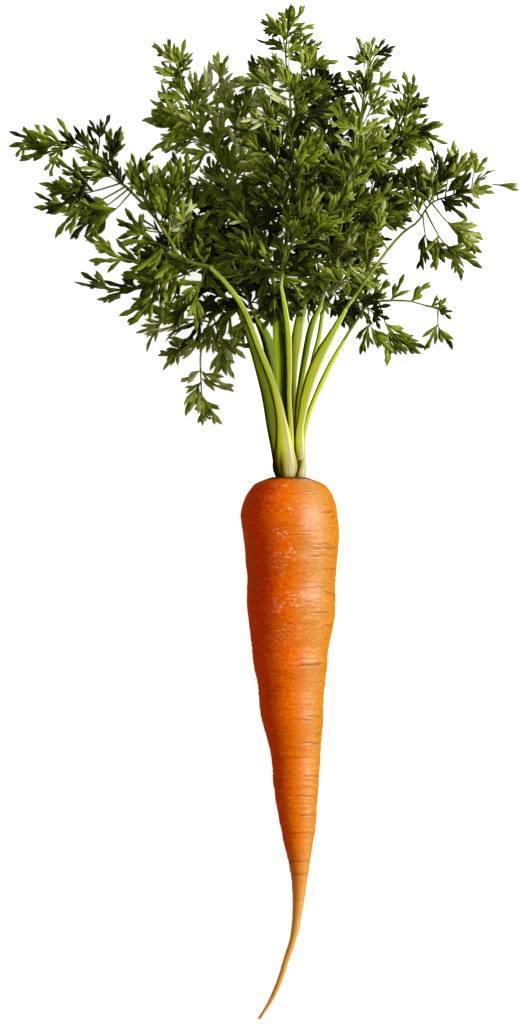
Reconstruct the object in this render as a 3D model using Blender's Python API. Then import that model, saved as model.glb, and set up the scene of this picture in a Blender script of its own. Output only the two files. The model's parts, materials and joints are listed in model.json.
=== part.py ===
"""A carrot laid on its side: one taproot, ten leaf stalks and the ten divided blades they carry.

X runs across the carrot, Y from the tail to the leaf tips and Z up from the table. The dimensions
below are in millimetres, and MM turns them into metres when a mesh is made.
"""

import math

import bmesh
import bpy
from mathutils import Matrix, Vector

MM = 0.001
GAP = 0.3  # clearance between pieces that meet
RING_SIDES = 24
CROWN = Vector((11.6, 16.6))  # where the leaf stalks leave the root
CROWN_HEIGHT = 19.4
BLADE_THICKNESS = 1.0
FAN_REACH = 70.0  # distance from the crown at which the leaves have fanned out
FAN_STEP = 8.2  # height between two neighbouring layers of leaves there
FAN_LOW = 2.6

# One row per ring of the root: position along Y, x of the centre line, radius.
ROOT = (
    (16.4, 11.6, 7.6), (15.4, 11.5, 9.6), (12.6, 11.4, 12.8), (9.4, 11.6, 16.0),
    (6.2, 11.4, 17.7), (3.0, 11.4, 18.8), (-0.2, 11.4, 19.4), (-4.0, 11.8, 19.4),
    (-13.0, 12.4, 18.8), (-19.4, 12.4, 18.3), (-27.0, 12.4, 17.6), (-35.4, 12.2, 17.7),
    (-41.8, 12.4, 17.2), (-48.2, 12.2, 16.2), (-54.6, 12.0, 15.2), (-61.0, 12.0, 14.7),
    (-67.4, 12.3, 13.6), (-77.0, 12.4, 12.8), (-83.4, 13.0, 12.1), (-89.8, 13.4, 11.0),
    (-96.2, 14.0, 10.0), (-109.0, 14.2, 9.0), (-121.8, 14.8, 7.5), (-134.6, 15.4, 5.4),
    (-147.4, 15.6, 3.2), (-160.2, 14.8, 2.0), (-169.8, 13.4, 1.5), (-179.4, 10.4, 1.3),
    (-189.0, 7.2, 1.2), (-196.0, 4.0, 1.0), (-203.0, -0.4, 0.7),
)

# One entry per leaf. layer is its place in the fan, 0 lying on the table and 5 on top; base is where
# the stalk starts on the crown, across and up; stalk and rachis are paths on the table plan; tips are
# the ends of the side leaflets.
LEAVES = (
    dict(layer=0, base=(-5.8, 0.0), width=3.4,
         stalk=((5.8, 17), (0.5, 47.5), (-4, 67.5), (-9, 83)),
         rachis=((-10, 85.5), (-15.5, 82), (-20, 77.5), (-22.5, 71.5), (-24, 64), (-24, 56), (-23, 34)),
         tips=((-14, 69), (-10, 58), (-50, 70), (-37, 61), (-32, 49), (-14, 45), (-29, 41), (-18, 39))),
    dict(layer=4, base=(-3.6, 4.4), width=4.4,
         stalk=((8.0, 17), (8.8, 29.5), (4, 49.5), (-1, 65.5), (-7, 81.5), (-14, 91.5), (-20, 97.5)),
         rachis=((-20.5, 98), (-32, 102), (-40, 115.5), (-52, 128.5), (-58, 134), (-63, 141.5),
                 (-74, 146), (-84, 146.5), (-103.5, 148)),
         tips=((-31, 87), (-51, 74), (-56, 95), (-73, 91), (-65, 109), (-54, 117), (-35, 144),
               (-49, 144), (-78, 115), (-90, 118), (-88, 128), (-56, 146), (-84, 140), (-67, 158),
               (-58, 154), (-82, 158), (-91, 155), (-99, 143), (-96, 154))),
    dict(layer=1, base=(-3.0, -4.4), width=3.0,
         stalk=((8.6, 17), (6.5, 50), (3.5, 66), (-2, 78.5)),
         rachis=((-2, 79), (-8, 93.5), (-13, 109.5), (-18, 125.5), (-21.5, 141)),
         tips=((-28, 82), (1, 100), (-30, 106), (2, 118), (-33, 124), (-4, 136), (-34, 140),
               (-8, 147), (-27, 142))),
    dict(layer=3, base=(-2.0, 0.0), width=3.2,
         stalk=((9.6, 17), (8, 50), (7, 69.5), (6, 89.5)),
         rachis=((6, 90), (0.5, 105.5), (-6, 121.5), (-13, 135.5), (-19, 145.5), (-25, 155.5),
                 (-29, 167.5), (-33, 177.5), (-38, 190.5)),
         tips=((-22, 112), (4, 122), (-34, 134), (0, 136), (-44, 154), (-6, 150), (-44, 162),
               (-7, 166), (-13, 183), (-22, 175), (-42, 169), (-45, 180), (-30, 185), (-42, 186))),
    dict(layer=5, base=(0.4, 4.4), width=2.7,
         stalk=((12, 17), (12.5, 44), (11.8, 71), (8, 90)),
         rachis=((8, 90.5), (9, 117.5), (10, 145.5), (10.5, 173.5), (12, 203.5)),
         tips=((-7, 112), (23, 109), (-7, 131), (26, 130), (-6, 150), (25, 152), (-4, 169),
               (27, 171), (-4, 184), (26, 186), (-1, 197), (21, 199), (7, 203.5), (16, 203))),
    dict(layer=2, base=(0.6, -4.4), width=3.0,
         stalk=((12.2, 17), (12.5, 56.5), (15, 71), (18, 85.5), (20.5, 94)),
         rachis=((20.5, 94.5), (24, 117.5), (26, 145.5), (24.5, 165.5), (24, 187.5)),
         tips=((38, 112), (11, 117), (42, 130), (12, 137), (42, 148), (12, 156), (38, 163),
               (14, 174), (31, 175), (25.5, 192.5))),
    dict(layer=3, base=(1.6, 0.0), width=3.0,
         stalk=((13.2, 17), (14.5, 44), (15.5, 56.5), (20, 73.5), (23.8, 82.5)),
         rachis=((24, 83), (30, 105.5), (36, 133.5), (40, 157.5), (42, 173.5), (45, 189.5)),
         tips=((16, 105), (46, 108), (20, 125), (53, 130), (26, 145), (54, 150), (29, 163),
               (53, 167), (33.5, 180), (51, 180), (40, 186))),
    dict(layer=1, base=(5.2, 0.0), width=3.0,
         stalk=((16.8, 17), (18.5, 46.5), (22, 66), (23.5, 70.5), (24.8, 80.5)),
         rachis=((25, 81), (34, 99.5), (44, 125.5), (50, 147.5), (56.5, 161.5), (59, 176)),
         tips=((46, 96), (26, 118), (57, 113), (33, 138), (63, 127), (42, 155), (75, 156),
               (48, 167), (62, 161), (63, 167))),
    dict(layer=4, base=(4.0, 4.4), width=3.8,
         stalk=((15.6, 17), (16, 35), (21, 55), (28.5, 71), (33.8, 81)),
         rachis=((34, 81.5), (48.5, 102), (56.5, 111.5), (62.5, 116), (68, 123.5), (84.5, 128),
                 (103.5, 132)),
         tips=((30, 102), (60, 90), (72, 98), (88, 98), (88, 107), (46, 124), (58, 131), (87, 121),
               (75, 146), (80, 141), (85, 145), (90, 143), (94, 139))),
    dict(layer=0, base=(4.4, -4.4), width=2.8,
         stalk=((16, 17), (18, 32), (22.5, 46.5), (29, 61.5), (33.3, 69)),
         rachis=((33.5, 69.5), (38.5, 77.5), (44.5, 84.5), (58, 85.5), (66.5, 83.5), (77, 81)),
         tips=((34, 91), (48, 99), (49, 63), (62, 60), (60, 95), (69, 92), (76, 66), (66, 69),
               (75.5, 86))),
)


def clear_scene():
    for old in list(bpy.data.objects):
        bpy.data.objects.remove(old)


def spline(points, share):
    """The point a share of the way along a smooth curve through the points."""
    at = min(max(share, 0.0), 1.0) * (len(points) - 1)
    i = min(int(at), len(points) - 2)
    u = at - i
    p = [Vector(points[min(max(i + k, 0), len(points) - 1)]) for k in (-1, 0, 1, 2)]
    return 0.5 * ((2 * p[1]) + (p[2] - p[0]) * u + (2 * p[0] - 5 * p[1] + 4 * p[2] - p[3]) * u * u
                  + (3 * p[1] - p[0] - 3 * p[2] + p[3]) * u * u * u)


def leaf_height(leaf, spot):
    """Height of a leaf's mid-surface over the table: it leaves the crown, fans out, arches, then droops."""
    away = (spot - CROWN).length
    rise = FAN_STEP * leaf["layer"]
    if away < FAN_REACH:
        t = away / FAN_REACH
        start = CROWN_HEIGHT + leaf["base"][1]
        return start + (FAN_LOW + rise - start) * (0.5 * t + 0.5 * t * t * (3 - 2 * t))
    beyond = (away - FAN_REACH) / 130
    aside = abs(spot.x - CROWN.x) / 115
    wave = min(0.4 + 0.05 * rise, 1.6) * min(4 * beyond, 1)
    droop = 1 + 0.12 * math.sin(math.pi * beyond) - 0.25 * beyond - 0.18 * aside * aside
    return FAN_LOW + rise * droop + wave * math.sin(away / 13 + 2.1 * leaf["layer"])


def add_object(name, bm, colour, roughness):
    bmesh.ops.recalc_face_normals(bm, faces=bm.faces)
    mesh = bpy.data.meshes.new(name)
    bm.to_mesh(mesh)
    bm.free()
    material = bpy.data.materials.new(name)
    material.use_nodes = True
    shader = material.node_tree.nodes["Principled BSDF"]
    shader.inputs["Base Color"].default_value = (*colour, 1)
    shader.inputs["Roughness"].default_value = roughness
    mesh.materials.append(material)
    obj = bpy.data.objects.new(name, mesh)
    bpy.context.scene.collection.objects.link(obj)


def skin(bm, rings):
    """Joins the rings into a closed tube with a flat cap at each end."""
    rows = [[bm.verts.new(point * MM) for point in ring] for ring in rings]
    for a, b in zip(rows, rows[1:]):
        for i in range(len(a)):
            j = (i + 1) % len(a)
            bm.faces.new((a[i], a[j], b[j], b[i]))
    bm.faces.new(rows[0])
    bm.faces.new(rows[-1])


def make_taproot():
    """A tapering root whose belly lies along the table from the shoulder to the tail."""
    rings = []
    for y, x, radius in ROOT:
        height = CROWN_HEIGHT if y > -2 else radius
        turns = [math.tau * k / RING_SIDES for k in range(RING_SIDES)]
        rings.append([Vector((x + radius * math.sin(a), y, height - radius * math.cos(a)))
                      for a in turns])
    bm = bmesh.new()
    skin(bm, rings)
    add_object("taproot", bm, (0.80, 0.27, 0.03), 0.55)


def make_stalk(name, leaf):
    """A stalk with a channelled, D-shaped section that tapers from its sheath to the blade."""
    rings = []
    steps = 9
    for k in range(steps):
        share = k / (steps - 1)
        spot = spline(leaf["stalk"], share)
        ahead = (spline(leaf["stalk"], share + 0.02) - spline(leaf["stalk"], share - 0.02)).normalized()
        side = Vector((ahead.y, -ahead.x, 0))
        half = 0.5 * leaf["width"] * (1 - 0.52 * share ** 0.8)
        deep = 1.55 * (1 - 0.38 * share)
        centre = Vector((*spot, leaf_height(leaf, spot)))
        section = ((-1, 0.55), (-0.55, 0.95), (0, 0.6), (0.55, 0.95), (1, 0.55), (0.8, -0.5),
                   (0, -1), (-0.8, -0.5))
        rings.append([centre + side * half * a + Vector((0, 0, deep * b)) for a, b in section])
    bm = bmesh.new()
    skin(bm, rings)
    add_object(name, bm, (0.36, 0.50, 0.12), 0.5)


class Limb:
    """A flat tapering strip of a blade, and the smaller limbs that bud from its sides."""

    def __init__(self, points, halves, droop=0.0):
        self.points, self.halves, self.droop = points, halves, droop
        self.buds = {}

    def edge(self, i, side):
        along = (self.points[i] - self.points[i - 1]).normalized()
        if i + 1 < len(self.points):
            along = (self.points[i + 1] - self.points[i - 1]).normalized()
        return self.points[i] + side * self.halves[i] * Vector((-along.y, along.x)), along


def lobes(limb, size, width):
    """Buds pointed lobes on both sides of a leaflet, shorter towards its tip."""
    last = len(limb.points) - 1
    for i in range(2, last):
        for side in (1, -1):
            edge, along = limb.edge(i, side)
            reach = size * (1.15 - 0.6 * i / last)
            out = Matrix.Rotation(side * math.radians(44), 2) @ along
            bud = Limb([limb.points[i], edge + out * 0.5 * reach, edge + out * reach],
                       [0, width, 0], limb.droop)
            limb.buds[i, side] = (bud, 0.5 * width)


def leaflet(start, along, tip):
    """A side leaflet that leaves its stem steeply, then bends towards its tip."""
    reach = (tip - start).length
    heading = (tip - start).normalized()
    bend = 0.12 * reach * (1 if along.x * heading.y > along.y * heading.x else -1)
    middle = (start + tip) / 2 + bend * Vector((-heading.y, heading.x))
    pairs = min(max(round(reach / 9.0), 1), 3)
    count = pairs + 2
    points = [spline((start, middle, tip), (k / count) ** 0.9) for k in range(count)] + [tip]
    half = 0.55 + 0.012 * reach
    limb = Limb(points, [half * (1 - 0.35 * k / count) for k in range(count)] + [0], 1.6)
    lobes(limb, min(0.42 * reach, 10.5), 1.25 + 0.015 * reach)
    return limb


def build_blade(leaf):
    """The rachis with its leaflets: each leaves it close by, at about fifty degrees."""
    samples = [spline(leaf["rachis"], k / 60) for k in range(61)]
    planted = {}
    for tip in sorted(map(Vector, leaf["tips"]), key=lambda p: (p - samples[0]).length):
        best = None
        for k in range(2, 58):
            along = (samples[k + 1] - samples[k - 1]).normalized()
            to_tip = tip - samples[k]
            side = 1 if along.x * to_tip.y - along.y * to_tip.x > 0 else -1
            near = min((abs(k - j) for j, s in planted if s == side), default=99)
            wrong = abs(along.angle(to_tip) - math.radians(50)) + to_tip.length / 60
            wrong += 9 if near < 2 else 0
            if best is None or wrong < best[0]:
                best = (wrong, k, side)
        planted[best[1], best[2]] = tip
    stations = sorted({0, 60} | {k for k, _ in planted})
    points = [samples[k] for k in stations]
    limb = Limb(points, [1.1 - 0.6 * k / 60 for k in stations[:-1]] + [0])
    for (k, side), tip in planted.items():
        i = stations.index(k)
        bud = leaflet(samples[k], limb.edge(i, side)[1], tip)
        limb.buds[i, side] = (bud, 0.45)
    return limb


def lay_limb(bm, leaf, limb, base):
    """Adds the faces of a limb between its two base vertices, then those of its buds."""
    def corner(spot, share):
        height = leaf_height(leaf, spot) - limb.droop * share
        return bm.verts.new(Vector((*spot, height)) * MM)

    last = len(limb.points) - 1
    left, right, waiting = [base[0]], [base[1]], []
    for i in range(1, last):
        for side, row in ((1, left), (-1, right)):
            edge, along = limb.edge(i, side)
            if (i, side) in limb.buds:
                bud, half = limb.buds[i, side]
                pair = [corner(edge + way * half * along, i / last) for way in (-1, 1)]
                row += pair
                waiting.append((bud, pair[::side]))
            else:
                row.append(corner(edge, i / last))
    tip = corner(limb.points[last], 1)
    bmesh.ops.triangulate(bm, faces=[bm.faces.new(left + [tip] + right[::-1])])
    for bud, pair in waiting:
        lay_limb(bm, leaf, bud, pair)


def make_blade(name, leaf):
    limb = build_blade(leaf)
    along = (limb.points[1] - limb.points[0]).normalized()
    bm = bmesh.new()
    base = []
    for side in (1, -1):
        spot = limb.points[0] + side * limb.halves[0] * Vector((-along.y, along.x))
        base.append(bm.verts.new(Vector((*spot, leaf_height(leaf, spot))) * MM))
    lay_limb(bm, leaf, limb, base)
    lower = bmesh.ops.extrude_face_region(bm, geom=bm.faces[:], use_keep_orig=True)
    drop = Vector((0, 0, -BLADE_THICKNESS * MM))
    bmesh.ops.translate(bm, vec=drop, verts=[v for v in lower["geom"] if isinstance(v, bmesh.types.BMVert)])
    bmesh.ops.translate(bm, vec=-drop / 2, verts=bm.verts)
    add_object(name, bm, (0.10, 0.20, 0.03), 0.6)


def centre_on_origin():
    """Moves everything so the middle of the underside of the whole box is the origin."""
    meshes = [o.data for o in bpy.context.scene.objects]
    spots = [v.co for mesh in meshes for v in mesh.vertices]
    low = [min(p[k] for p in spots) for k in range(3)]
    high = [max(p[k] for p in spots) for k in range(3)]
    shift = Vector((-(low[0] + high[0]) / 2, -(low[1] + high[1]) / 2, -low[2]))
    for mesh in meshes:
        mesh.transform(Matrix.Translation(shift))


clear_scene()
make_taproot()
for number, entry in enumerate(LEAVES, 1):
    make_stalk(f"leaf_stalk_{number}", entry)
    make_blade(f"leaf_blade_{number}", entry)
centre_on_origin()
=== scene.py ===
"""A freshly pulled carrot lying on a pale table: wrinkled taproot, ribbed leaf stalks, feathery blades."""

import json
import math
import random

import bpy
import numpy as np
from mathutils import Matrix, Quaternion, Vector, noise

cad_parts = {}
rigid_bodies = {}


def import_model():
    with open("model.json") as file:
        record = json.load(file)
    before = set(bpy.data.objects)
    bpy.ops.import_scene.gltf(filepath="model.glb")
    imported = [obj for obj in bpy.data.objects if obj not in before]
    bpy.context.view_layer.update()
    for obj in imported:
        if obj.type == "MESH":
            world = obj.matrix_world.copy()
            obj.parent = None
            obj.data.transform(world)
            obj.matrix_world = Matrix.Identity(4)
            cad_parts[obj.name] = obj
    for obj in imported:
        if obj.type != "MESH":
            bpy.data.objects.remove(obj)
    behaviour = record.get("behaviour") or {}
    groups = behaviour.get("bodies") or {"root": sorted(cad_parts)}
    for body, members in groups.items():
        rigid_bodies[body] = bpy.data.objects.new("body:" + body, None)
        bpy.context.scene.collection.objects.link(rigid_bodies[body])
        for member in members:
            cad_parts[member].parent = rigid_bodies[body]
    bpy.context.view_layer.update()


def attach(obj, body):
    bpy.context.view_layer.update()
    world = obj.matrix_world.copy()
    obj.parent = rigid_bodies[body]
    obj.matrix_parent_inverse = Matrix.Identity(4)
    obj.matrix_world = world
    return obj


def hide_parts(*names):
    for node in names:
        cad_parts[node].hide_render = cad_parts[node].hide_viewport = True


for startup in list(bpy.data.objects):
    bpy.data.objects.remove(startup)
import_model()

# ---- Taproot ---------------------------------------------------------------------------------------
# The root swells at the shoulder and narrows to a hair-thin curling tail. Its skin is orange and moist,
# ringed with fine wrinkles and short crosswise scars where rootlets were. Its colour carries painted light
# and shade: darker and redder on the left, paler and browner on the right, with painted glints along the
# middle. The mesh is made ring by ring, with the wrinkles and the scars cut into it.

MM = 0.001  # every length below is in millimetres until it reaches a mesh
SETTLE = -0.6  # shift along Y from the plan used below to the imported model
CROWN_HEIGHT = 19.4  # of the root's axis over the table, at the crown
TAIL_Y, CROWN_Y = -203.0, 14.6  # where the root ends
ROOT_RINGS, ROOT_SIDES = 640, 84
CROWDING = 0.14  # how much closer the rings lie at the shoulder than at the tail
SMALL_SCARS = 110
ROOT_PROFILE = (  # position along Y, x of the centre line, radius
    (14.6, 11.4, 6.6), (14.0, 11.4, 8.6), (12.3, 11.5, 12.8), (9.4, 11.6, 16.0), (6.2, 11.4, 17.7),
    (3.0, 11.4, 18.8), (-0.2, 11.4, 19.4), (-4.0, 11.8, 19.4), (-13.0, 12.4, 18.8),
    (-19.4, 12.4, 18.3), (-27.0, 12.4, 17.6), (-35.4, 12.2, 17.7), (-41.8, 12.4, 17.2),
    (-48.2, 12.2, 16.2), (-54.6, 12.0, 15.2), (-61.0, 12.0, 14.7), (-67.4, 12.3, 13.6),
    (-77.0, 12.4, 12.8), (-83.4, 13.0, 12.1), (-89.8, 13.4, 11.0), (-96.2, 14.0, 10.0),
    (-109.0, 14.2, 9.0), (-121.8, 14.8, 7.5), (-134.6, 15.4, 5.4), (-147.4, 15.6, 3.2),
    (-160.2, 14.8, 2.0), (-169.8, 13.4, 1.5), (-179.4, 10.4, 1.3), (-189.0, 7.2, 1.2),
    (-196.0, 4.0, 1.0), (-203.0, -0.4, 0.7),
)
DEEP_SCARS = (  # position along Y, turn from the top towards +X in degrees, half length, depth, slant
    (0.6, 56, 12, 0.50, 0.02), (-1.6, 62, 8, 0.45, 0.0), (-12.2, 40, 9, 0.35, 0.03),
    (-13.8, 52, 22, 0.45, 0.04), (-17.0, 30, 8, 0.35, 0.06), (-22.0, 62, 12, 0.35, -0.02),
    (-29.0, 40, 8, 0.4, 0.0), (-31.4, 58, 12, 0.4, 0.0), (-35.2, 26, 7, 0.35, 0.05),
    (-39.4, 46, 16, 0.5, 0.03), (-44.8, 64, 10, 0.4, 0.0), (-60.4, 34, 26, 0.95, 0.08),
    (-81.0, 50, 20, 0.5, 0.02), (-91.8, 40, 26, 0.6, -0.03),
    (-105.0, 44, 28, 0.5, 0.02), (-113.0, 30, 34, 0.45, 0.0), (-120.6, 38, 34, 0.45, 0.03),
    (4.2, -35, 22, 0.25, 0.0), (-54.6, -30, 24, 0.28, 0.02), (-70.6, -34, 26, 0.3, -0.02),
    (-74.6, -25, 20, 0.22, 0.0), (-98.0, -20, 34, 0.35, 0.02), (-128.0, 10, 70, 0.35, 0.02),
    (-139.4, 0, 100, 0.45, 0.0), (-144.6, 0, 110, 0.4, 0.0), (-4.8, -84, 10, 0.5, 0.0),
    (-20.0, -80, 9, 0.45, 0.0), (-52.0, -82, 14, 0.5, 0.0), (-70.8, -84, 14, 0.5, 0.0),
    (-88.0, -80, 16, 0.5, 0.0), (-104.0, -82, 18, 0.45, 0.0), (-33.0, 84, 12, 0.5, 0.0),
    (-62.0, 84, 14, 0.5, 0.0),
)


def ease(at, places, values):
    """A smooth curve through a table of values, for every place in at."""
    places, values = np.array(places), np.array(values)
    slope = np.gradient(values, places)
    i = np.clip(np.searchsorted(places, at) - 1, 0, len(places) - 2)
    gap = places[i + 1] - places[i]
    t = np.clip((at - places[i]) / gap, 0, 1)
    return ((2 * t**3 - 3 * t**2 + 1) * values[i] + (t**3 - 2 * t**2 + t) * gap * slope[i]
            + (3 * t**2 - 2 * t**3) * values[i + 1] + (t**3 - t**2) * gap * slope[i + 1])


def grain(points, stretch, seed):
    """Smooth noise from -1 to 1 at each point, with the points stretched first."""
    place = points * np.array(stretch) + seed
    return np.array([noise.noise(p) for p in place.tolist()])


def add_piece(name, points, faces, material, smooth=True):
    """A mesh object with one material, linked to the scene."""
    mesh = bpy.data.meshes.new(name)
    mesh.from_pydata(points, [], faces)
    mesh.materials.append(material)
    mesh.polygons.foreach_set("use_smooth", [smooth] * len(mesh.polygons))
    piece = bpy.data.objects.new(name, mesh)
    bpy.context.scene.collection.objects.link(piece)
    return piece


def store(piece, name, values):
    """Keeps one number per vertex for the material to read."""
    layer = piece.data.attributes.new(name, "FLOAT", "POINT")
    layer.data.foreach_set("value", np.asarray(values, np.float32))


def lay_out(piece, corners):
    """Gives the piece its own flat layout: corners holds one place per face corner."""
    layer = piece.data.uv_layers.new(name="OFBake")
    layer.data.foreach_set("uv", np.asarray(corners, np.float32).ravel())


rows = np.array(ROOT_PROFILE)[::-1]
t = np.linspace(0, 1, ROOT_RINGS)
along = TAIL_Y + (CROWN_Y - TAIL_Y) * (t + CROWDING * np.sin(np.pi * t))
centre = ease(along, rows[:, 0], rows[:, 1])
girth = ease(along, rows[:, 0], rows[:, 2])
turn = np.linspace(-math.pi, math.pi, ROOT_SIDES, endpoint=False)
Y, A = np.repeat(along, ROOT_SIDES), np.tile(turn, ROOT_RINGS)
R, CX = np.repeat(girth, ROOT_SIDES), np.repeat(centre, ROOT_SIDES)
on_skin = np.stack([np.sin(A) * R, Y, np.cos(A) * R], 1)

lower = np.clip((-40 - Y) / 90, 0, 1)  # wrinkles grow below the shoulder
thick = np.clip(R / 6, 0.12, 1)  # and everything fades on the thin tail
swell = 0.30 * grain(on_skin, (0.06, 0.045, 0.06), 3.1) + 0.22 * grain(on_skin, (0.09, 0.20, 0.09), 9.4)
wrinkle = grain(on_skin, (0.07, 0.5, 0.07), 17.0) * (0.08 + 0.14 * lower)
wrinkle += grain(on_skin, (0.10, 1.5, 0.10), 5.5) * (0.03 + 0.08 * lower)
crease, cut = np.zeros(len(Y)), np.zeros(len(Y))  # how dark and how deep the scars are
dice = random.Random(7)
scars = [(y, math.radians(a), math.radians(w), d, s) for y, a, w, d, s in DEEP_SCARS]
for k in range(SMALL_SCARS):
    y = 8 - 165 * dice.random() ** 0.9
    a = dice.choice((-1.0, 0.35, 1.2, 2.6)) + dice.gauss(0, 0.35)
    deep = dice.uniform(0.10, 0.30) * (1 if y < -60 else 0.8)
    scars.append((y, a, dice.uniform(0.08, 0.45), deep, dice.uniform(-0.04, 0.04)))
jag = 0.5 * grain(on_skin, (0.35, 0.08, 0.35), 51.0) + 0.2 * grain(on_skin, (0.9, 0.1, 0.9), 63.0)
for y, a, wide, deep, slant in scars:
    far = (A - a + math.pi) % (2 * math.pi) - math.pi
    off = Y - y - slant * far * R + jag
    ends = np.exp(-((far / wide) ** 4))
    width = 0.26 + 0.32 * deep
    cut += deep * ends * (np.exp(-((off / width) ** 2)) - 0.5 * np.exp(-((off / (2.4 * width)) ** 2)))
    crease = np.maximum(crease, min(deep * 2.2, 1) * ends * np.exp(-((off / (0.72 * width)) ** 2)))
R = R + (swell + wrinkle) * thick - cut * thick
dome = np.clip((Y - 8) / 8, 0, 1)  # the crown is lumpy under the stalks
R += dome * 0.5 * grain(on_skin, (0.25, 0.25, 0.25), 31.0)
height = np.where(Y > -2, CROWN_HEIGHT, np.repeat(girth, ROOT_SIDES))  # it lies on the table
skin = np.stack([CX + np.sin(A) * R, Y + SETTLE, np.maximum(height + np.cos(A) * R, 0.02)], 1) * MM
tail_end = Vector((centre[0], along[0] + SETTLE - 0.5, girth[0])) * MM
crown_mid = Vector((centre[-1], along[-1] + SETTLE + 0.1, CROWN_HEIGHT)) * MM
points = [Vector(p) for p in skin.tolist()] + [tail_end, crown_mid]
faces, corners = [], []
for i in range(ROOT_RINGS - 1):
    for j in range(ROOT_SIDES):
        n = (j + 1) % ROOT_SIDES
        faces.append((i * ROOT_SIDES + j, i * ROOT_SIDES + n, (i + 1) * ROOT_SIDES + n,
                      (i + 1) * ROOT_SIDES + j))
        for a, b in ((i, j), (i, j + 1), (i + 1, j + 1), (i + 1, j)):
            corners.append((0.01 + 0.98 * b / ROOT_SIDES, 0.04 + 0.88 * a / ROOT_RINGS))
last = (ROOT_RINGS - 1) * ROOT_SIDES
for j in range(ROOT_SIDES):  # both ends are closed by fans of triangles
    n = (j + 1) % ROOT_SIDES
    faces.append((n, j, len(points) - 2))
    corners += [((j + 1) / ROOT_SIDES, 0.035), (j / ROOT_SIDES, 0.035), ((j + 0.5) / ROOT_SIDES, 0.01)]
    faces.append((last + j, last + n, len(points) - 1))
    turns = [math.tau * j / ROOT_SIDES, math.tau * (j + 1) / ROOT_SIDES]
    corners += [(0.5 + 0.03 * math.sin(a), 0.96 + 0.03 * math.cos(a)) for a in turns] + [(0.5, 0.96)]


class Wire:
    """A shader socket: arithmetic on it adds Math nodes, and node() adds any other node."""

    def __init__(self, tree, socket=None):
        self.tree, self.socket = tree, socket

    def node(self, kind, settings, inputs, output=0):
        """A new node of this kind with its settings and inputs, as a wire from one of its outputs."""
        made = self.tree.nodes.new("ShaderNode" + kind)
        for name, value in settings.items():
            if name == "stops":
                while len(made.color_ramp.elements) < len(value):
                    made.color_ramp.elements.new(1.0)
                for stop, (place, colour) in zip(made.color_ramp.elements, value):
                    stop.position, stop.color = place, (*colour, 1)
            else:
                setattr(made, name, value)
        for name, value in inputs.items():
            if isinstance(value, Wire):
                self.tree.links.new(value.socket, made.inputs[name])
            else:
                made.inputs[name].default_value = value
        return Wire(self.tree, made.outputs[output])

    def maths(self, operation, *values):
        return self.node("Math", {"operation": operation}, dict(enumerate(values)))

    def __add__(self, other):
        return self.maths("ADD", self, other)

    def __sub__(self, other):
        return self.maths("SUBTRACT", self, other)

    def __rsub__(self, other):
        return self.maths("SUBTRACT", other, self)

    def __mul__(self, other):
        return self.maths("MULTIPLY", self, other)

    __radd__, __rmul__ = __add__, __mul__

    def band(self, low, high):
        """0 below low, 1 above high, and smooth between; low may be the larger one."""
        return self.node("MapRange", {"interpolation_type": "SMOOTHSTEP"},
                         {"Value": self, "From Min": low, "From Max": high})

    def mix(self, first, second):
        """The first colour where this is 0, and the second where it is 1."""
        def colour(value):
            return value if isinstance(value, Wire) else (*value, 1)
        return self.node("Mix", {"data_type": "RGBA"}, {0: self, 6: colour(first), 7: colour(second)}, 2)

    def kept(self, name):
        """A number kept on the mesh by store()."""
        return self.node("Attribute", {"attribute_name": name}, {}, 2)

    def place(self, scale):
        """The place on the piece, in metres, stretched by a scale per axis."""
        where = self.node("TexCoord", {}, {}, 3)
        return self.node("Mapping", {}, {"Vector": where, "Scale": scale})

    def noise(self, scale, detail, rough, warp=0.0):
        """Cloudy noise around 0.5; scale says how many clouds fit in a metre along each axis."""
        return self.node("TexNoise", {}, {"Vector": self.place(scale), "Scale": 1.0, "Detail": detail,
                                          "Roughness": rough, "Distortion": warp})

    def bump(self, strength, reach):
        """A surface direction from this height."""
        return self.node("Bump", {}, {"Height": self, "Strength": strength, "Distance": reach})


def new_finish(name, **constants):
    """A material with its constant sockets set, and the wire and shader to build on."""
    material = bpy.data.materials.new(name)
    material.use_nodes = True
    shader = material.node_tree.nodes["Principled BSDF"]
    for socket, value in constants.items():
        shader.inputs[socket.replace("_", " ")].default_value = value
    return material, Wire(material.node_tree), shader


def connect(wire, shader, socket):
    wire.tree.links.new(wire.socket, shader.inputs[socket])


root_skin, wire, shader = new_finish("carrot_skin", Specular_IOR_Level=0.0, Coat_Roughness=0.48)
lean, lengthways = wire.kept("lean"), wire.kept("lengthways")
clouds = wire.noise((60, 30, 60), 3, 0.6)
rings = wire.noise((45, 520, 45), 4, 0.65, 0.3)
fine_rings = wire.noise((160, 1700, 160), 3, 0.6, 0.2)
grit = wire.noise((560, 1000, 560), 4, 0.7, 0.4)
# Painted light and shade: the ramp across the sides paints the left, away from the key light, darker and
# redder, and the right paler and more golden.
side = lean * 0.5 + 0.5 + (clouds - 0.5) * 0.30 + (grit - 0.5) * 0.26
skin_colour = side.node("ValToRGB", {"stops": (
    (0.06, (0.46, 0.036, 0.003)), (0.18, (0.64, 0.034, 0.001)), (0.35, (0.86, 0.105, 0.0005)),
    (0.51, (0.78, 0.136, 0.0005)), (0.66, (0.58, 0.165, 0.002)), (0.80, (0.47, 0.182, 0.006)),
    (0.94, (0.43, 0.150, 0.005)))}, {"Fac": side})
marks = rings.band(0.56, 0.72) * 0.25 + grit.band(0.53, 0.64) * 0.42
# The pale marks are skin texture; they fade towards the left as part of the painted shade there.
marks = marks * (lean.band(-0.9, 0.1) * 0.75 + 0.25)
skin_colour = marks.mix(skin_colour, (0.85, 0.30, 0.030))
pores = grit.band(0.47, 0.36) * 0.30 + rings.band(0.42, 0.28) * 0.22
pores = pores + fine_rings.band(0.42, 0.28) * 0.12
skin_colour = pores.mix(skin_colour, (0.25, 0.028, 0.001))
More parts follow.
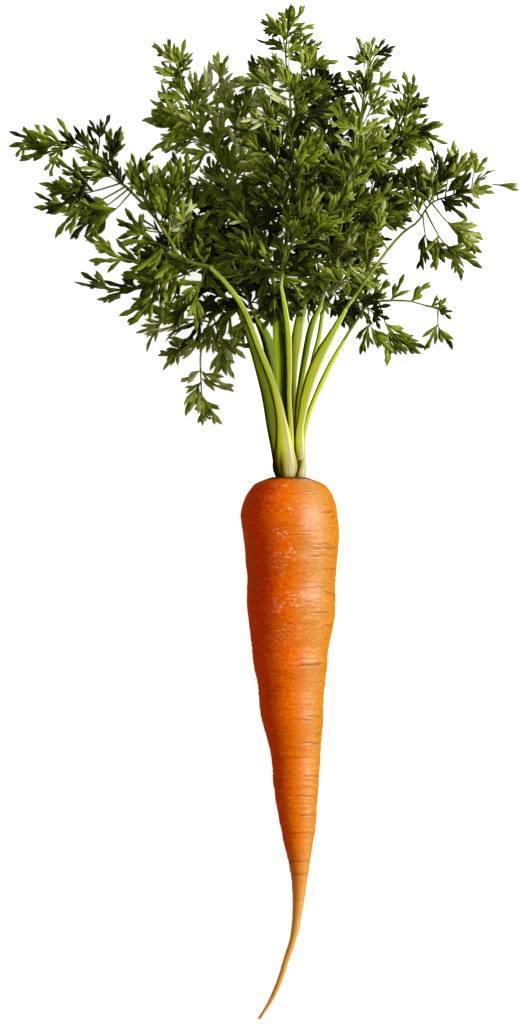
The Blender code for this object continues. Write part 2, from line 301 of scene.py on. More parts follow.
# Painted glints: pale pinkish specks in clumps along the middle of the root, where the light from above
# would glint.
painted_glints = wire.noise((620, 1200, 620), 3, 0.6).band(0.54, 0.64)
painted_glints = painted_glints * lean.band(-0.6, -0.25) * lean.band(0.5, 0.1)
painted_glints = painted_glints * wire.noise((110, 130, 110), 2, 0.5).band(0.46, 0.60) * lengthways.band(-70, -30)
skin_colour = (painted_glints * 0.55).mix(skin_colour, (0.95, 0.60, 0.38))
lower_tone = lengthways.band(-45, -130) * lean.band(-1.0, 0.0) * lean.band(0.95, 0.3)
skin_colour = (lower_tone * 0.35).mix(skin_colour, (0.76, 0.200, 0.0005))
tail_tone = (lengthways + (clouds - 0.5) * 14).band(-125, -165)
skin_colour = (tail_tone * 0.9).mix(skin_colour, (0.56, 0.25, 0.035))
neck = (lengthways + (clouds - 0.5) * 5 + (grit - 0.5) * 4).band(9.0, 14.0)
skin_colour = (neck * 0.35).mix(skin_colour, (0.62, 0.17, 0.002))
collar = (lengthways + (fine_rings - 0.5) * 1.2).band(13.3, 14.1)
skin_colour = (collar * 0.9).mix(skin_colour, (0.075, 0.030, 0.006))
skin_colour = (wire.kept("crease") * 0.8).mix(skin_colour, (0.21, 0.044, 0.002))
connect(skin_colour, shader, "Base Color")
connect(0.30 + grit * 0.14 + wire.kept("crease") * 0.3, shader, "Roughness")
connect(lean.band(-0.12, 0.42) * lean.band(0.95, 0.6) * (0.75 + clouds * 0.6), shader, "Coat Weight")
relief = rings * 0.4 + fine_rings * 0.18 + grit * 0.75
connect(relief.bump(0.9, 0.0006), shader, "Normal")

taproot = add_piece("carrot_root", points, faces, root_skin)
store(taproot, "crease", [*crease, 0, 0])
store(taproot, "lean", [*np.sin(A), 0, 0])
store(taproot, "lengthways", [*Y, TAIL_Y, CROWN_Y])
lay_out(taproot, corners)
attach(taproot, "root")
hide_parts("taproot")

# ---- Leaf stalks -----------------------------------------------------------------------------------
# Ten stalks leave the crown. Each is juicy, ribbed lengthways and channelled on its upper face, pale
# where its sheath clasps its neighbours and greener towards the blade. Each is swept along its path.
# The table of leaves also says where the blades of the next section grow.

CROWN = Vector((11.6, 16.6))  # the middle of the crown, seen from above
FAN_REACH = 70.0  # how far from the crown the leaves have found their own layers
FAN_STEP, FAN_LOW = 8.2, 2.6  # height between two layers, and of the lowest
CEILING, PRESSED = 49.0, 0.3  # what would rise above this height keeps this share of the rest
CLEARANCE = 0.15  # no leaf lies closer to the table than this
SHEATH_TOP, SHEATH_LENGTH = 30, 16  # along Y: above the top a stalk is bare
TUCK_START, TUCK_LENGTH = 16.5, 3.0  # along Y: below the start a stalk dips into the crown
STALK_SIDES, STALK_RINGS = 36, 64
# Each leaf has: inner, the number of made-up fronds along its rachis; open, how loosely its lobes spread
# (0 is dense); layer, its place in the fan, from 0 at the table; rise, its height over the crown's axis;
# pale, how pale the stalk is, partly painted light and shade (below 0 it is painted dark and lit from
# the other side); tone, how pale the blade is; dry, how olive the blade is; stalk, a path of x, y, half
# width; rachis, the path that carries on through the blade; tips, where the fronds end, with the share of
# the rachis where one is planted, if that matters.
LEAVES = (
    dict(inner=3, open=0.6, layer=0, rise=0.0, pale=0.5, tone=0.22, dry=0.5,
         stalk=((7.0, 15, 1.2), (5.5, 26, 1.4), (4.4, 34.6, 1.9), (3.0, 45.4, 2.2), (1.0, 53.4, 2.0),
                (-3.4, 67.5, 1.4), (-9.6, 84.4, 0.8)),
         rachis=((-10, 85.5), (-15.5, 82), (-20, 77.5), (-22.5, 71.5), (-24, 64), (-24, 56), (-23, 34)),
         tips=((-14, 69), (-10, 60), (-50, 72), (-36, 62), (-31, 51), (-14, 47), (-26, 41), (-20, 37),
               (-8, 66, 0.05))),
    dict(inner=8, open=0.9, layer=4, rise=3.4, pale=0.62, tone=0.0, dry=0.0,
         stalk=((10.2, 13.6, 3.4), (9.7, 18.2, 4.8), (9.4, 23.2, 4.2), (9.0, 29.5, 3.1), (8.2, 37.5, 2.1),
                (6.6, 45.4, 1.75), (4.0, 54, 1.5), (-1, 66.5, 1.35), (-7, 81.5, 1.2), (-14, 91.5, 0.95),
                (-20.4, 97.8, 0.8)),
         rachis=((-20.5, 98), (-32, 102), (-40, 115.5), (-52, 128.5), (-58, 134), (-63, 141.5),
                 (-74, 146), (-84, 146.5), (-103.5, 148)),
         tips=((-31, 87), (-51, 74), (-56, 93, 0.06), (-74, 92, 0.04), (-70, 110, 0.09), (-44, 88),
               (-50, 100), (-30, 116, 0.08), (-38, 74, 0.02), (-41, 99, 0.10), (-29, 92, 0.07),
               (-35, 144), (-26, 112), (-29, 124), (-37, 121, 0.16), (-36, 130), (-38, 138), (-45, 141),
               (-50, 144), (-72, 115, 0.36), (-80, 118, 0.38), (-90, 122, 0.4), (-88, 131, 0.43),
               (-82, 138, 0.52), (-50, 138, 0.26), (-41, 136, 0.2), (-54, 118, 0.22), (-84, 140),
               (-67, 158), (-57, 153), (-82, 158), (-91, 155), (-99, 143), (-96, 154))),
    dict(inner=22, open=0, layer=1, rise=-4.4, pale=0.20, tone=0.10, dry=0.0,
         stalk=((9.0, 15, 1.6), (8.6, 34, 1.3), (6.6, 48, 1.6), (4.3, 62, 2.2), (2.2, 70.5, 2.1),
                (-2.4, 78.8, 0.75)),
         rachis=((-2, 79), (-8, 93.5), (-13, 109.5), (-16, 124), (-18, 135)),
         tips=((-28, 82), (-12, 74, 0.04), (0, 70, 0.06), (4, 78, 0.1), (1, 100), (-30, 106), (2, 118),
               (-33, 120), (-4, 136), (-31, 128), (-8, 147))),
    dict(inner=19, open=0, layer=3, rise=-1.0, pale=-0.2, tone=0.24, dry=0.0,
         stalk=((10.4, 15, 1.7), (9.4, 34, 1.7), (8.4, 48, 2.3), (8.0, 62, 2.6), (7.2, 76, 2.3),
                (6.2, 89.8, 0.8)),
         rachis=((6, 90), (0.5, 105.5), (-6, 121.5), (-13, 135.5), (-19, 145.5), (-25, 155.5),
                 (-29, 167.5), (-33, 177.5), (-38, 190.5)),
         tips=((-2, 78, 0.04), (3, 72, 0.06), (-22, 112), (4, 122), (-28, 128), (0, 136),
               (-45, 158, 0.6), (-6, 150), (-45, 164), (-4, 159), (-9, 165), (-4, 171), (-13, 174),
               (-42, 168), (-13, 183), (-22, 176), (-40, 174), (-30, 185))),
    dict(inner=22, open=0, layer=5, rise=0.6, pale=0.5, tone=0.05, dry=0.0,
         stalk=((12.2, 15, 1.5), (12.0, 31, 1.2), (11.3, 46, 1.0), (11.3, 58, 1.15), (10.6, 74, 1.3),
                (8, 90.4, 0.75)),
         rachis=((8, 90.5), (10.6, 114), (8.4, 137), (12, 160), (10, 181), (12, 201.5)),
         tips=((12, 75, 0.04), (15, 82, 0.07), (-7, 112), (23, 109), (-7, 131), (26, 130), (-6, 150),
               (25, 152), (-8, 153), (-6, 160), (-4, 169), (0, 164), (24, 142), (-3, 176), (27, 171),
               (-1, 183), (24, 186), (4, 190), (1, 194), (21, 196), (16, 191), (7, 200), (0, 197, 0.9),
               (-2, 189, 0.85), (-6, 180, 0.64))),
    dict(inner=26, open=0, layer=2, rise=-0.6, pale=0.8, tone=0.0, dry=0.0,
         stalk=((12.8, 15, 1.5), (13.3, 31, 1.1), (13.4, 49, 1.1), (13.7, 60, 1.5), (14.5, 69, 2.2),
                (17, 83.5, 1.5), (20.4, 94.3, 0.75)),
         rachis=((20.5, 94.5), (24, 117.5), (25, 145.5), (21, 165.5), (20, 187.5)),
         tips=((13, 79), (20, 80, 0.05), (27, 79, 0.06), (38, 112), (11, 117), (42, 130), (12, 137),
               (42, 148), (12, 156), (35, 160), (13, 174), (24, 190))),
    dict(inner=17, open=0, layer=3, rise=-1.4, pale=0.3, tone=0.1, dry=0.0,
         stalk=((13.6, 15, 1.5), (14.2, 31, 1.0), (15.0, 44, 1.1), (16.8, 56.5, 1.25), (20, 73.5, 1.3),
                (23.9, 82.8, 0.75)),
         rachis=((24, 83), (30, 105.5), (36, 133.5), (40, 157.5), (42, 173.5), (45, 189.5)),
         tips=((16, 105), (46, 108), (20, 125), (53, 130), (26, 145), (54, 150), (31, 163),
               (45, 170), (37, 171), (35, 178, 0.8), (35, 184, 0.86), (48, 180), (40, 185))),
    dict(inner=20, open=0, layer=1, rise=-4.0, pale=0.35, tone=0.05, dry=0.0,
         stalk=((15.0, 15, 1.6), (16.4, 34, 1.3), (18.6, 48, 1.2), (21.4, 62, 1.1), (23.5, 71, 0.9),
                (24.9, 80.8, 0.75)),
         rachis=((25, 81), (34, 99.5), (44, 125.5), (50, 145.5), (58, 159), (62, 175.5)),
         tips=((37, 86, 0.04), (46, 91, 0.1), (46, 98), (26, 118), (33, 138), (57, 122), (64, 136),
               (42, 155), (74, 155))),
    dict(inner=1, open=0.8, layer=4, rise=0.6, pale=0.72, tone=-0.08, dry=0.3,
         stalk=((14.8, 15, 1.6), (15.6, 21.4, 1.7), (15.4, 28, 1.9), (15.5, 33, 1.6), (16.4, 38.5, 1.6),
                (17.8, 46, 2.0), (20.4, 55, 2.25), (24.0, 63.5, 2.1), (28.2, 71, 1.5), (34, 81.3, 0.7)),
         rachis=((34, 81.5), (48.5, 102), (56.5, 111.5), (62.5, 116), (68, 123.5), (78, 127),
                 (92, 131)),
         tips=((30, 102), (73, 99, 0.56), (88, 97, 0.6), (89, 109, 0.66), (84, 119, 0.74), (66, 134),
               (72, 140), (38, 116), (46, 124), (58, 133), (62, 140), (88, 122, 0.85), (75, 146),
               (80, 141), (85, 145), (90, 143), (104, 132, 1))),
    dict(inner=0, open=0.7, layer=0, rise=2.8, pale=0.62, tone=0.0, dry=0.0,
         stalk=((14.6, 13.6, 3.3), (16.0, 18.2, 2.2), (17.0, 24.4, 1.1), (17.3, 30, 0.9), (18.2, 35, 0.95),
                (19.6, 40.4, 1.0), (22.0, 46.5, 1.05), (25.6, 54.5, 1.1), (29.6, 62.5, 0.95),
                (33.6, 69.4, 0.7)),
         rachis=((33.5, 69.5), (38.5, 77.5), (44.5, 84.5), (58, 85.5), (66.5, 83.5), (77, 81)),
         tips=((34, 91), (38, 86, 0.1), (45, 93, 0.3), (53, 93, 0.42), (48, 99), (51, 65, 0.36),
               (63, 62, 0.45), (60, 95), (69, 92), (76, 66, 0.88), (75.5, 86))),
)


def spline(path, share):
    """The point a share of the way along a smooth curve through the path."""
    at = min(max(share, 0.0), 1.0) * (len(path) - 1)
    i = min(int(at), len(path) - 2)
    u = at - i
    p = [Vector(path[min(max(i + k, 0), len(path) - 1)]) for k in (-1, 0, 1, 2)]
    return 0.5 * ((2 * p[1]) + (p[2] - p[0]) * u + (2 * p[0] - 5 * p[1] + 4 * p[2] - p[3]) * u * u
                  + (3 * p[1] - p[0] - 3 * p[2] + p[3]) * u * u * u)


def leaf_height(leaf, spot):
    """Height of a leaf over the table: it leaves the crown, fans out, arches, then droops."""
    away = (spot.xy - CROWN).length
    climb = FAN_STEP * leaf["layer"]
    if away < FAN_REACH:
        t = away / FAN_REACH
        start = CROWN_HEIGHT + leaf["rise"]
        return start + (FAN_LOW + climb - start) * (0.5 * t + 0.5 * t * t * (3 - 2 * t))
    beyond = (away - FAN_REACH) / 130
    aside = abs(spot.x - CROWN.x) / 115
    wave = min(0.4 + 0.05 * climb, 1.6) * min(4 * beyond, 1)
    droop = 1 + 0.12 * math.sin(math.pi * beyond) - 0.25 * beyond - 0.18 * aside * aside
    return FAN_LOW + climb * droop + wave * math.sin(away / 13 + 2.1 * leaf["layer"])


def raise_spot(leaf, spot, lift=0.0):
    """A spot of the plan at its leaf's height, with what rises too high pressed down."""
    height = leaf_height(leaf, spot) + lift
    return Vector((spot.x, spot.y, min(height, CEILING + PRESSED * (height - CEILING))))


def to_model(points):
    """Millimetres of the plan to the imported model's metres, with nothing under the table."""
    return [Vector((p.x, p.y + SETTLE, max(p.z, CLEARANCE))) * MM for p in points]


stalk_skin, wire, shader = new_finish("stalk_skin", Specular_IOR_Level=0.0, Coat_Roughness=0.3)
reach, around, pale = wire.kept("reach"), wire.kept("around"), wire.kept("pale")
lean, base = wire.kept("lean"), wire.kept("sheath")
streak_place = wire.node("CombineXYZ", {}, {0: around * 14, 1: reach * 2.2, 2: pale * 40})
streaks = wire.node("TexNoise", {}, {"Vector": streak_place, "Scale": 1.0, "Detail": 3.0})
thin_place = wire.node("CombineXYZ", {}, {0: around * 46, 1: reach * 5, 2: pale * 11})
threads = wire.node("TexNoise", {}, {"Vector": thin_place, "Scale": 1.0, "Detail": 2.0})
# Painted light and shade: tone runs from dark on the side away from the light to pale on the lit side, and
# the ramps below turn it into colour.
tone = lean * 0.54 + 0.48 + (streaks - 0.5) * 0.6 + (threads - 0.5) * 0.4
tone = tone + (pale - 0.5) * 0.5 - reach * 0.03
green_part = tone.node("ValToRGB", {"stops": (
    (0.0, (0.012, 0.014, 0.0003)), (0.16, (0.110, 0.114, 0.0005)), (0.40, (0.430, 0.470, 0.006)),
    (0.68, (0.500, 0.530, 0.028)), (0.92, (0.530, 0.540, 0.170)))}, {"Fac": tone})
hue = 0.5 + reach.band(0.5, 0.95) * 0.022 - reach.band(0.45, 0.1) * 0.014 + pale.band(0.6, 0.3) * 0.024
green_part = green_part.node("HueSaturation", {}, {"Hue": hue, "Color": green_part})
# Painted highlight: a whitish sheen on the lit side of the paler stalks, towards their feet.
painted_sheen = lean.band(-0.1, 0.5) * lean.band(1.0, 0.7) * reach.band(0.6, 0.15) * pale.band(0.5, 0.62)
green_part = (painted_sheen * 0.8).mix(green_part, (0.53, 0.50, 0.28))
sheath_part = tone.node("ValToRGB", {"stops": (
    (0.16, (0.012, 0.008, 0.0003)), (0.38, (0.060, 0.040, 0.0005)), (0.54, (0.200, 0.150, 0.003)),
    (0.68, (0.380, 0.322, 0.075)), (0.80, (0.500, 0.440, 0.240)),
    (1.0, (0.330, 0.280, 0.100)))}, {"Fac": tone})
stalk_colour = base.band(0.05, 0.75).mix(green_part, sheath_part)
foot = (base + (threads - 0.5) * 0.12).band(0.93, 1.04)
stalk_colour = (foot * 0.85).mix(stalk_colour, (0.10, 0.045, 0.006))
connect(stalk_colour, shader, "Base Color")
connect(0.34 + streaks * 0.18, shader, "Roughness")
connect(lean.band(-0.4, 0.4) * 0.35, shader, "Coat Weight")
connect((streaks * 0.5 + threads * 0.5).bump(0.4, 0.0004), shader, "Normal")


def make_stalk(number, leaf):
    """A swept stalk: a swollen clasping sheath at the foot, then a ribbed D with a channel on top."""
    points, faces, corners = [], [], []
    kept = {"reach": [], "around": [], "lean": [], "sheath": []}
    for k in range(STALK_RINGS):
        share = k / (STALK_RINGS - 1)
        row = spline(leaf["stalk"], share)
        spot, half = row.xy, row.z
        ahead = spline(leaf["stalk"], share + 0.02) - spline(leaf["stalk"], share - 0.02)
        side = Vector((ahead.y, -ahead.x, 0)).normalized()
        sheath = min(max((SHEATH_TOP - spot.y) / SHEATH_LENGTH, 0.0), 1.0)
        deep = min(half, 1.25) + 0.62 * max(half - 1.25, 0) + 0.1 * half  # broad stalks are flatter
        tuck = max(0.0, (TUCK_START - spot.y) / TUCK_LENGTH) ** 2
        deep *= 1 - 0.35 * min(tuck, 1)
        middle = raise_spot(leaf, spot, -1.6 * tuck)
        for j in range(STALK_SIDES):
            a = math.tau * j / STALK_SIDES - math.pi
            rib = 1 + 0.045 * (1 - 0.5 * sheath) * math.cos(9 * a) + 0.02 * math.cos(17 * a + number)
            dip = 0.32 * math.exp(-((a / 0.5) ** 2)) * (1 - sheath)
            wide = math.sin(a) * (1 + 0.12 * math.cos(a)) * rib
            tall = math.cos(a) * rib - dip
            points.append(middle + side * half * wide + Vector((0, 0, deep * tall)))
            kept["reach"].append(share)
            kept["around"].append(abs(a) / math.pi + 0.15 * (a < 0))
            # The side that takes the painted shade: the left, or the right for a stalk whose pale is below
            # 0.
            kept["lean"].append(math.sin(a) * (1 if leaf["pale"] > 0 else -1))
            kept["sheath"].append(sheath)
    for i in range(STALK_RINGS - 1):
        for j in range(STALK_SIDES):
            n = (j + 1) % STALK_SIDES
            faces.append((i * STALK_SIDES + j, (i + 1) * STALK_SIDES + j, (i + 1) * STALK_SIDES + n,
                          i * STALK_SIDES + n))
            for a, b in ((i, j), (i + 1, j), (i + 1, j + 1), (i, j + 1)):
                corners.append((0.01 + 0.9 * b / STALK_SIDES, 0.01 + 0.98 * a / STALK_RINGS))
    for start, flip in ((0, False), ((STALK_RINGS - 1) * STALK_SIDES, True)):  # the two ends
        ring = list(range(start, start + STALK_SIDES))
        faces.append(tuple(ring[::-1]) if flip else tuple(ring))
        spots = [(0.96 + 0.02 * math.sin(math.tau * j / STALK_SIDES),
                  (0.75 if flip else 0.25) + 0.02 * math.cos(math.tau * j / STALK_SIDES))
                 for j in range(STALK_SIDES)]
        corners += spots[::-1] if flip else spots
    piece = add_piece(f"carrot_stalk_{number}", to_model(points), faces, stalk_skin)
    for name, values in kept.items():
        store(piece, name, values)
    store(piece, "pale", [leaf["pale"]] * len(points))
    lay_out(piece, corners)
    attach(piece, "root")
    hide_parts(f"leaf_stalk_{number}")


for number, leaf in enumerate(LEAVES, 1):
    make_stalk(number, leaf)

# ---- Leaf blades -----------------------------------------------------------------------------------
# Each blade is three times divided: a rachis bears fronds, those bear small leaflets, and these end in
# narrow pointed lobes. Every strip is a thin closed lens with a raised midrib, grown along its parent.
# It is deep green with paler lobes painted as highlights, and browner where leaves are drier; painted shade
# darkens the lower layers and some spots, and painted light brightens others.

dice = random.Random(20)
TABLE_GAP = 0.6  # the lowest that the middle of a strip may lie
RACHIS_STEPS = 60
BARE_BEYOND, BARE_SHARE = 0.33, 0.28  # fronds planted further out have this share of their stems bare
END_LOBES = ((0, 0), (1, 13), (2, -15))  # slim lobes past a rachis: step along the stem, turn
PAINTED_LIGHT_AND_SHADE = (  # where painted shade makes the foliage darker or painted light makes it paler: x, y, reach along x and y, change of tint
    (8, 96, 34, 24, -0.26), (-42, 126, 15, 14, 0.22), (-72, 136, 24, 24, -0.26), (4, 130, 30, 24, -0.10),
)


class Spray:
    """The strips of one blade, gathered before they become a mesh."""

    def __init__(self):
        self.points, self.faces, self.tints, self.ribs, self.strips = [], [], [], [], []

    def strip(self, path, halves, up, fold, thick, tints):
        """A lens-shaped strip along the path, kept over the table: edges, midrib above, rib below."""
        path = [Vector((p.x, p.y, max(p.z, TABLE_GAP))) for p in path]
        rings, points = [], []
        start = len(self.points)
        for i, spot in enumerate(path):
            along = path[min(i + 1, len(path) - 1)] - path[max(i - 1, 0)]
            side = along.cross(up).normalized()
            over = side.cross(along).normalized()
            h = halves[i]
            first = start + len(points)
            if h == 0:
                points.append(spot)
                self.ribs.append(0.4)
                self.tints.append(tints[i])
                rings.append([first] * 4)
                continue
            body = min(thick, h)
            points += [spot - side * h + over * fold * h, spot + over * body * 0.5,
                       spot + side * h + over * fold * h, spot - over * body * 0.5]
            self.ribs += [0.0, 1.0, 0.0, 0.5]
            self.tints += [tints[i]] * 4
            rings.append([first, first + 1, first + 2, first + 3])
        sunk = Vector((0, 0, max(0.0, CLEARANCE - min(p.z for p in points))))
        self.points += [p + sunk for p in points]
        number = len(self.strips)
        for i, (a, b) in enumerate(zip(rings, rings[1:])):
            for j in range(4):
                n = (j + 1) % 4
                face = [a[j], a[n], b[n], b[j]]
                places = [(i, j), (i, j + 1), (i + 1, j + 1), (i + 1, j)]
                if b[0] == b[1]:
                    face, places = face[:3], places[:3]
                self.faces.append((face, number, places))
        self.faces.append((rings[0][::-1], number, [(0, 3), (0, 2), (0, 1), (0, 0)]))
        self.strips.append(len(path))


def turned(vector, axis, degrees):
    """The vector after a turn about the axis."""
    return Quaternion(axis, math.radians(degrees)) @ vector


def finger(spray, base, along, up, length, half, tint):
    """A lobe: narrow at its foot, widest past its middle, pointed; some longer ones bear a side lobe."""
    bend = along.cross(up) * dice.uniform(-0.16, 0.16) * length + up * dice.uniform(-0.24, 0.08) * length
    path = [base + along * length * s + bend * s * s for s in (0, 0.3, 0.6, 0.83, 1.0)]
    spray.strip(path, [0.34 * half, 0.68 * half, half, 0.6 * half, 0], up, 0.3, 0.32,
                [tint - 0.16, tint - 0.06, tint, tint + 0.05, tint + 0.1])
    if length > 5.0 and dice.random() < 0.55:
        heading = turned(along, up, dice.choice((1, -1)) * dice.uniform(18, 30))
        foot = path[1].lerp(path[2], dice.uniform(0.0, 0.6))
        reach = length * dice.uniform(0.4, 0.58)
        side_lobe = [foot + heading * reach * s for s in (0, 0.4, 0.75, 1.0)]
        spray.strip(side_lobe, [0.42 * half, 0.72 * half, 0.66 * half, 0], up, 0.3, 0.3, [tint] * 4)


def leaflet(spray, base, along, up, length, tint, open):
    """A smallest leaflet: a wedge on a thin foot that opens into long fingers pointing forward.

    The more open it is, the fewer and broader its fingers are, and the closer to its foot they start.
    """
    up = turned(up, along, dice.gauss(0, 24))
    side = along.cross(up).normalized()
    nod = -up * dice.uniform(0.02, 0.18) * length
    cup = dice.uniform(-8, 18)
    spine = [base + along * length * s + nod * s * s for s in (0, 0.22, 0.42, 0.62)]
    palm = min(0.075 * length, 1.0)
    spray.strip(spine, [0.22, 0.45 * palm, palm, 0.5 * palm], up, 0.2, 0.34,
                [tint + 0.1, tint - 0.1, tint - 0.06, tint])
    pairs = 1 if length < 10 or dice.random() < 0.3 + 0.5 * open else 2
    half = min(0.44 + 0.032 * length, 0.95) * (1 + 0.25 * abs(open))
    for k in range(pairs):
        s = 0.18 - 0.11 * max(open, 0) + 0.32 * k / pairs
        spread = 34 - 24 * (k + 0.3) / pairs
        for way in (1, -1):
            heading = turned(turned(along, up, way * spread * dice.uniform(0.7, 1.3)), along, -way * cup)
            heading = turned(heading, side, dice.gauss(0, 6))
            foot = base + along * length * (s + 0.05 * way) + nod * s * s
            reach = length * (0.97 - s) * (0.74 + 0.12 * k / pairs) * dice.uniform(0.72, 1.1)
            finger(spray, foot, heading, up, reach, half * dice.uniform(0.8, 1.12),
                   tint + dice.gauss(0, 0.15))
    finger(spray, spine[2], (along + 0.5 * nod / length).normalized(), up, length * 0.6, half * 1.08, tint)


def frond(spray, path, up, tint, open, stem=0.4, bare=0.0):
    """A side branch of a blade: its stem follows the path, with leaflets on both sides and at its tip.

    The stem is the half width at its foot, and bare is the share of it that carries no leaflets.
    """
    length = sum((b - a).length for a, b in zip(path, path[1:]))
    # Painted shade and painted light from the spots in the table above.
    tint += sum(change * math.exp(-(((path[0].x - x) / wide) ** 2) - ((path[0].y - y) / tall) ** 2)
                for x, y, wide, tall, change in PAINTED_LIGHT_AND_SHADE)
    last = min(0.58 * length, dice.uniform(11.0, 14.5) + 3 * open)
    inner = 1 - 0.8 * last / length
    stations = [spline(path, inner * k / 5) for k in range(6)]
    spray.strip(stations, [stem * (1 - 0.5 * k / 5) for k in range(6)], up, 0.1, 1.6 * stem,
                [tint + 0.06] * 6)
    count = max(2, round((length - 5) * (1 - bare) / (4.9 + 2.4 * open)))
    way = dice.choice((1, -1))
    for k in range(count):
        s = bare + (k + 0.5) / (count + 0.2) * (1 - 0.62 * last / length - bare)
        along = (spline(path, s + 0.03) - spline(path, s - 0.03)).normalized()
        way = -way
        heading = turned(along, up, way * (47 - 6 * open - 26 * s + dice.gauss(0, 6)))
        heading = turned(heading, along, dice.gauss(0, 12))
        reach = min(dice.uniform(12, 16) * (1.12 + 0.18 * open - 0.5 * s), 0.66 * length,
                    0.95 * (1.1 - s) * length)
        leaflet(spray, spline(path, s), heading, up, reach, tint + dice.gauss(0, 0.2), open)
    leaflet(spray, spline(path, 1 - last / length), (path[-1] - path[-2]).normalized(), up, last, tint, open)


def plant(leaf):
    """Where each frond leaves the rachis: close to its tip, at about fifty degrees.

    Gives the spots along the rachis, and the tip for each pair of a spot's number and a side.
    """
    samples = [spline(leaf["rachis"], k / RACHIS_STEPS) for k in range(RACHIS_STEPS + 1)]
    planted = {}
    tips = [Vector((*tip, 0)[:3]) for tip in leaf["tips"]]  # z is the share of the rachis, 0 if free
    for tip in sorted(tips, key=lambda tip: (tip.xy - samples[0]).length):
        best = None
        spots = range(2, RACHIS_STEPS - 2) if tip.z == 0 else [round(RACHIS_STEPS * tip.z)]
        for k in spots:
            along = (samples[min(k + 1, RACHIS_STEPS)] - samples[k - 1]).normalized()
            to_tip = tip.xy - samples[k]
            side = 1 if along.x * to_tip.y - along.y * to_tip.x > 0 else -1
            near = min((abs(k - j) for j, s in planted if s == side), default=99)
            wrong = abs(along.angle(to_tip) - math.radians(50)) + to_tip.length / 60
            wrong += 9 if near < 2 else 0
            if best is None or wrong < best[0]:
                best = (wrong, k, side)
        planted[best[1], best[2]] = tip
    return samples, planted


def make_blade(number, leaf):
    """One blade: its rachis, a frond to each tip, made-up inner fronds and one at the end."""
    spray = Spray()
    samples, planted = plant(leaf)
    up = Vector((0, 0, 1))
    sway = 0.03 if leaf["layer"] == 0 else 0.15
    back = (samples[0] - samples[1]).normalized() * 1.6
    path = [samples[0] + back, *samples[:RACHIS_STEPS - 3:4]]
    halves = [leaf["stalk"][-1][2] * (1 - 0.68 * k / 15) for k in range(len(path))]
    fade, least = (0.07, 0.34) if leaf["open"] > 0.5 else (0.14, 0.12)
    tints = [max(0.8 - fade * k, least) + leaf["tone"] for k in range(len(path))]
    spray.strip([raise_spot(leaf, spot) for spot in path], halves, up, 0.05, 1.3, tints)
    for (k, _), tip in planted.items():
        start, bare = samples[k], BARE_SHARE if tip.z > BARE_BEYOND else 0
        tip = tip.xy
        reach = (tip - start).length
        heading = (tip - start).normalized()
        ahead = (samples[min(k + 1, RACHIS_STEPS)] - samples[k - 1]).normalized()
        bend = 0.12 * reach * (1 if ahead.x * heading.y > ahead.y * heading.x else -1)
        middle = (start + tip) / 2 + bend * Vector((-heading.y, heading.x))
        lift = dice.uniform(-0.9, 1) * sway * reach
        tint = 0.32 + leaf["tone"] + dice.gauss(0, 0.13)
        leaning = turned(up, Vector((*heading, 0)), dice.gauss(0, 16))
        stem_path = [raise_spot(leaf, spline((start, middle, tip), s), lift * s - 1.5 * s * s)
                     for s in (0, 0.2, 0.4, 0.6, 0.8, 1.0)]
        towards = (stem_path[3] - stem_path[0]).normalized()
        if k == RACHIS_STEPS:
            for step, way in END_LOBES:
                finger(spray, stem_path[step], turned(towards, up, way), leaning,
                       reach * (1 - 0.24 * step), 0.55, tint + 0.2)
        elif reach < 15:
            leaflet(spray, stem_path[0], towards, leaning, reach, tint, leaf["open"])
        else:
            frond(spray, stem_path, leaning, tint, max(leaf["open"], 0.4), 0.30 + 0.004 * reach, bare)
    for k in range(leaf["inner"]):
        i = round(2 + 50 * ((k + dice.random()) / leaf["inner"]) ** 1.15)
        ahead = (samples[i + 1] - samples[i - 1]).normalized()
        way = 1 if k % 2 else -1
        reach = dice.uniform(22, 33) * (1.1 - 0.75 * i / RACHIS_STEPS)
        swing = dice.uniform(12, 66) + (dice.uniform(10, 50) if i < 9 and leaf["open"] == 0 else 0)
        lift = dice.uniform(-1.2, 1.8) * sway * reach
        if k % 3 == 0:  # every third stands up and hides the rachis
            swing, lift = dice.uniform(3, 12), dice.uniform(0.12, 0.2) * reach
        heading = Matrix.Rotation(math.radians(way * swing), 2) @ ahead
        inner_path = [raise_spot(leaf, samples[i] + heading * reach * s, lift * s - 1.5 * s * s)
                      for s in (0, 0.25, 0.5, 0.75, 1.0)]
        leaning = turned(up, Vector((*heading, 0)), dice.gauss(0, 26))
        # Painted shade: the inner fronds of the low layers get a much darker tint, as if in the shade of
        # those above.
        low = leaf["layer"] in (1, 2)
        tint = (0.05 if low else 0.30) + leaf["tone"] + dice.gauss(0, 0.18)
        frond(spray, inner_path, leaning, tint, -0.8 if low else leaf["open"])
    tip_path = [raise_spot(leaf, spot) for spot in samples[RACHIS_STEPS - 12::3]]
    frond(spray, tip_path, up, 0.34 + leaf["tone"], max(leaf["open"], 0.4))
    cells = math.ceil(math.sqrt(len(spray.strips)))  # each strip has its own square of the flat layout
    corners = []
    for face, strip, places in spray.faces:
        x, y = strip % cells, strip // cells
        for i, j in places:
            corners.append(((x + 0.1 + 0.8 * i / (spray.strips[strip] - 1)) / cells,
                            (y + 0.1 + 0.8 * j / 4) / cells))
    piece = add_piece(f"carrot_blade_{number}", to_model(spray.points), [f for f, _, _ in spray.faces],
                      blade_skin)
    store(piece, "tint", spray.tints)
    store(piece, "dry", [leaf["dry"]] * len(spray.points))
    store(piece, "rib", spray.ribs)
    lay_out(piece, corners)
    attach(piece, "root")
    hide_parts(f"leaf_blade_{number}")


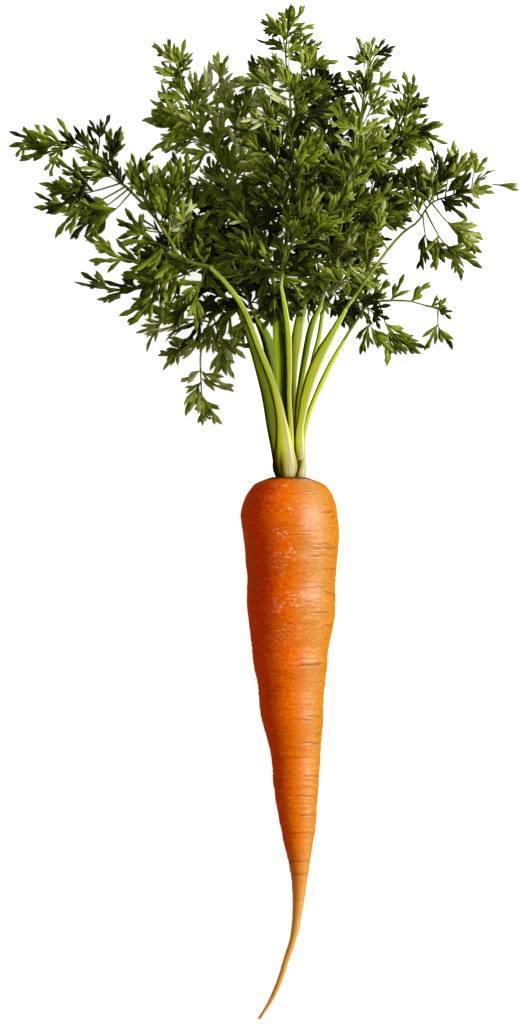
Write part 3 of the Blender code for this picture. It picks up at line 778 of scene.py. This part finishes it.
blade_skin, wire, shader = new_finish("blade_skin", Specular_IOR_Level=0.06)
tint, rib = wire.kept("tint"), wire.kept("rib")
patches = wire.noise((110, 110, 110), 3, 0.6)
tone = tint + 0.08 + (patches - 0.5) * 1.5 + (0.5 - rib) * 0.34  # the midribs are darker
blade_colour = tone.band(-0.15, 0.45).mix((0.010, 0.013, 0.0005), (0.105, 0.138, 0.003))
blade_colour = tone.band(0.30, 0.75).mix(blade_colour, (0.23, 0.28, 0.022))
# Painted highlight: the palest tones turn a pale sage colour, a painted sheen of light on the leaf surface.
blade_colour = tone.band(0.70, 1.15).mix(blade_colour, (0.52, 0.54, 0.24))
dry = wire.kept("dry")
blade_colour = blade_colour.node("HueSaturation", {}, {
    "Hue": 0.5 - dry * 0.030, "Saturation": 1.0 - dry * 0.10, "Value": 1.0 + dry * 0.15,
    "Color": blade_colour})
connect(blade_colour, shader, "Base Color")
connect(0.42 + patches * 0.2, shader, "Roughness")
for number, leaf in enumerate(LEAVES, 1):
    make_blade(number, leaf)

# ---- Table, light and camera -----------------------------------------------------------------------
# A plain white table that glows a little, so that shadows on it stay pale; a broad soft light from the
# right and a small sharp one from above for glints; and a camera straight above the carrot.

table_finish, wire, shader = new_finish("table_finish", Roughness=0.9, Specular_IOR_Level=0.1,
                                        Emission_Color=(1, 1, 1, 1), Emission_Strength=0.85)
shade = wire.noise((3, 3, 3), 2, 0.5)
connect(shade.mix((0.54, 0.54, 0.54), (0.58, 0.58, 0.58)), shader, "Base Color")
table = add_piece("table", [Vector(p) for p in ((-20, -20, 0), (20, -20, 0), (20, 20, 0), (-20, 20, 0))],
                  [(0, 1, 2, 3)], table_finish, smooth=False)

LIGHTS = (  # name, strength, how broad in degrees, where it shines from
    ("key_light", 4.6, 34, (0.85, 0.18, 0.56)),
    ("glint_light", 0.5, 6, (-0.05, 0.12, 1)),
)
for name, strength, broad, source in LIGHTS:
    light = bpy.data.objects.new(name, bpy.data.lights.new(name, "SUN"))
    light.data.energy = strength
    light.data.angle = math.radians(broad)
    light.rotation_euler = Vector(source).to_track_quat("Z", "Y").to_euler()
    bpy.context.scene.collection.objects.link(light)

world = bpy.data.worlds.new("studio")
world.use_nodes = True
world.node_tree.nodes["Background"].inputs["Color"].default_value = (1, 0.98, 0.94, 1)
world.node_tree.nodes["Background"].inputs["Strength"].default_value = 0.18
bpy.context.scene.world = world
bpy.context.scene.view_settings.view_transform = "Standard"

VIEW_HEIGHT = 0.4096  # metres from the top to the bottom of the picture
CAMERA_UP, MID_HEIGHT = 3.0, 0.015  # metres over the middle of the carrot, and of that over the table
SENSOR = 36
camera = bpy.data.objects.new("camera", bpy.data.cameras.new("camera"))
camera.location = (0.0002, 0.0, CAMERA_UP + MID_HEIGHT)
camera.data.sensor_width = SENSOR
camera.data.lens = SENSOR * CAMERA_UP / VIEW_HEIGHT
camera.data.clip_end = 100
bpy.context.scene.collection.objects.link(camera)
bpy.context.scene.camera = camera
